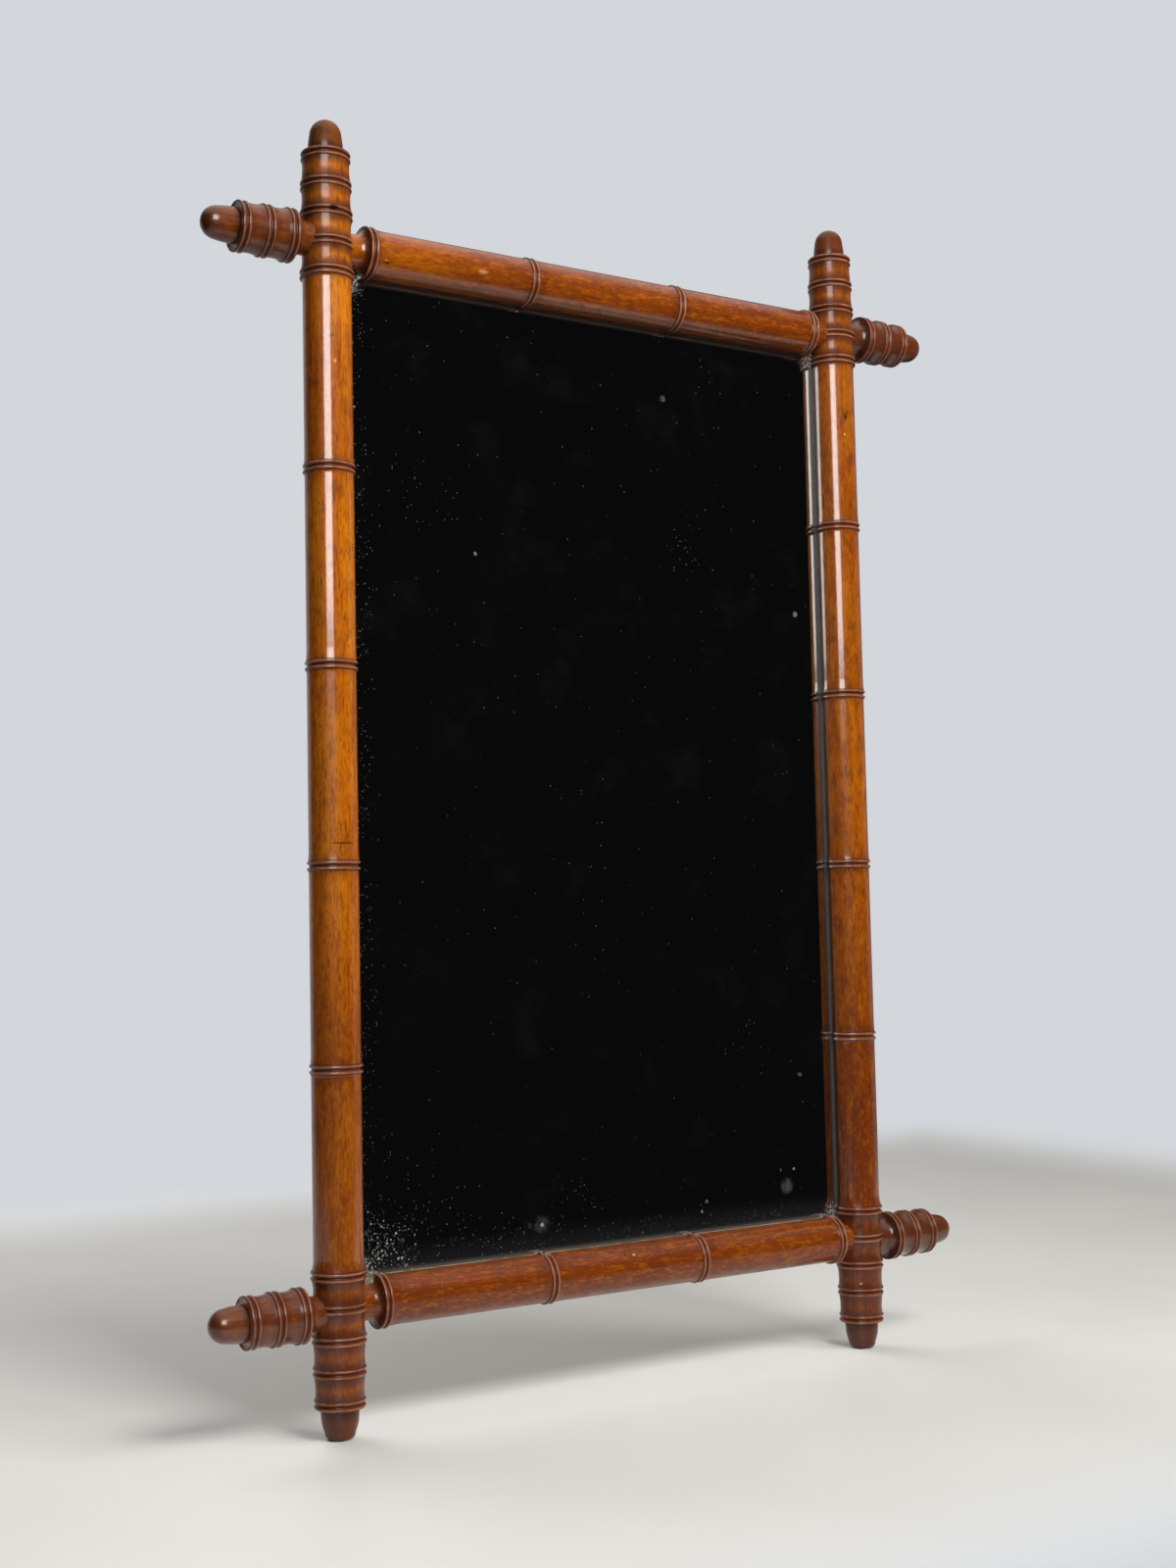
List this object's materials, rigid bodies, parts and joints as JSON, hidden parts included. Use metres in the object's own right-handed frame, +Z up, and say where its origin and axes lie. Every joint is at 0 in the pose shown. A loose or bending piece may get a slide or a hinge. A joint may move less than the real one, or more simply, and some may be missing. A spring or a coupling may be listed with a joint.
{
  "type": "wall mirror",
  "caption": "Upright wall mirror in a ringed, turned faux bamboo frame with crossed corners and rounded finials, with a plank back and swinging hanging rings.",
  "frame": {"origin": "middle of the plank back, on the plane that lies against the wall", "axes": "+X to the right seen from the front, +Y towards the wall, +Z up along the stiles"},
  "size_m": [0.645, 0.0443, 0.9202],
  "materials": {
    "stained_wood": "glossy varnish over an amber and red-brown stain",
    "silvered_glass": "polished, lightly foxed",
    "bare_wood": "unfinished and darkened by age",
    "iron": "dull, lightly rusted",
    "aged_brass": "dulled with age"
  },
  "bodies": {
    "frame": {"left_stile": "stained_wood", "right_stile": "stained_wood", "top_rail": "stained_wood", "bottom_rail": "stained_wood", "finial_top_left": "stained_wood", "finial_top_right": "stained_wood", "finial_bottom_left": "stained_wood", "finial_bottom_right": "stained_wood", "mirror_glass": "silvered_glass", "glass_wedges": "bare_wood", "tenon_pegs": "bare_wood", "back_plank_left": "bare_wood", "back_plank_middle": "bare_wood", "back_plank_right": "bare_wood", "back_nails": "iron", "hanger_post_left": "aged_brass", "hanger_post_right": "aged_brass"},
    "left_ring": {"hanger_ring_left": "aged_brass"},
    "right_ring": {"hanger_ring_right": "aged_brass"}
  },
  "joints": [
    {"name": "left_ring_swing", "type": "hinge", "parent": "frame", "child": "left_ring", "pos_m": [-0.13267, 0.002, 0.3745], "axis": [1, 0, 0], "range_deg": [0, 180]},
    {"name": "right_ring_swing", "type": "hinge", "parent": "frame", "child": "right_ring", "pos_m": [0.13267, 0.002, 0.3745], "axis": [1, 0, 0], "range_deg": [0, 180]}
  ]
}
